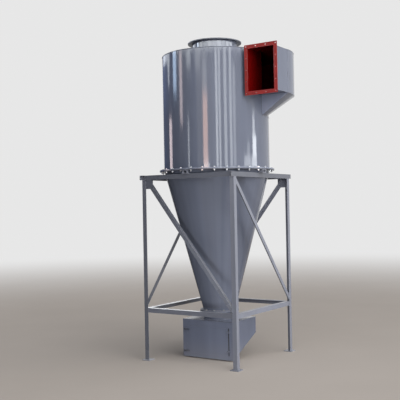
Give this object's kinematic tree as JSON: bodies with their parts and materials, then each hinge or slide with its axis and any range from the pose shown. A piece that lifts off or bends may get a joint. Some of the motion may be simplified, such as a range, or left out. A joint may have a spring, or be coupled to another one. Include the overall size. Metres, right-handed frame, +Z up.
{
  "type": "cyclone separator",
  "caption": "Cyclone separator with a glossy steel barrel, scroll inlet, round gas outlet, long cone and sloped dust box on a braced angle steel stand.",
  "frame": {"origin": "on the floor under the vessel axis, at the centre of the four anchor holes", "axes": "+Z up along the vessel axis; the inlet mouth faces -Y and lies on the +X side; gas turns from +X towards +Y"},
  "size_m": [1.6061, 1.3314, 3.553],
  "materials": {
    "cone_enamel": "satin grey enamel",
    "duct_paint": "grey enamel outside, red primer inside",
    "red_primer": "matt red primer",
    "shell_enamel": "glossy grey enamel",
    "stand_enamel": "satin grey enamel"
  },
  "bodies": {
    "root": {"leg_front_right": "stand_enamel", "leg_back_right": "stand_enamel", "leg_back_left": "stand_enamel", "leg_front_left": "stand_enamel", "base_plate_front_right": "stand_enamel", "base_plate_back_right": "stand_enamel", "base_plate_back_left": "stand_enamel", "base_plate_front_left": "stand_enamel", "ring_top_front": "stand_enamel", "ring_top_right": "stand_enamel", "ring_top_back": "stand_enamel", "ring_top_left": "stand_enamel", "ring_low_front": "stand_enamel", "ring_low_right": "stand_enamel", "ring_low_back": "stand_enamel", "ring_low_left": "stand_enamel", "brace_front": "stand_enamel", "brace_right": "stand_enamel", "brace_back": "stand_enamel", "brace_left": "stand_enamel", "support_front": "stand_enamel", "support_right": "stand_enamel", "support_back": "stand_enamel", "support_left": "stand_enamel", "cone": "cone_enamel", "cone_top_flange": "cone_enamel", "cone_bottom_flange": "cone_enamel", "barrel": "shell_enamel", "barrel_flange": "shell_enamel", "barrel_roof": "shell_enamel", "scroll_wall": "shell_enamel", "scroll_roof": "shell_enamel", "scroll_soffit": "shell_enamel", "scroll_end_plate": "shell_enamel", "inlet_duct": "duct_paint", "inlet_flange": "red_primer", "gas_outlet_tube": "shell_enamel", "gas_outlet_flange": "shell_enamel", "dust_box_walls": "cone_enamel", "dust_box_floor": "cone_enamel", "dust_box_roof": "cone_enamel", "dust_box_neck": "cone_enamel", "neck_flange": "cone_enamel", "cleaning_cover": "cone_enamel"}
  },
  "joints": []
}
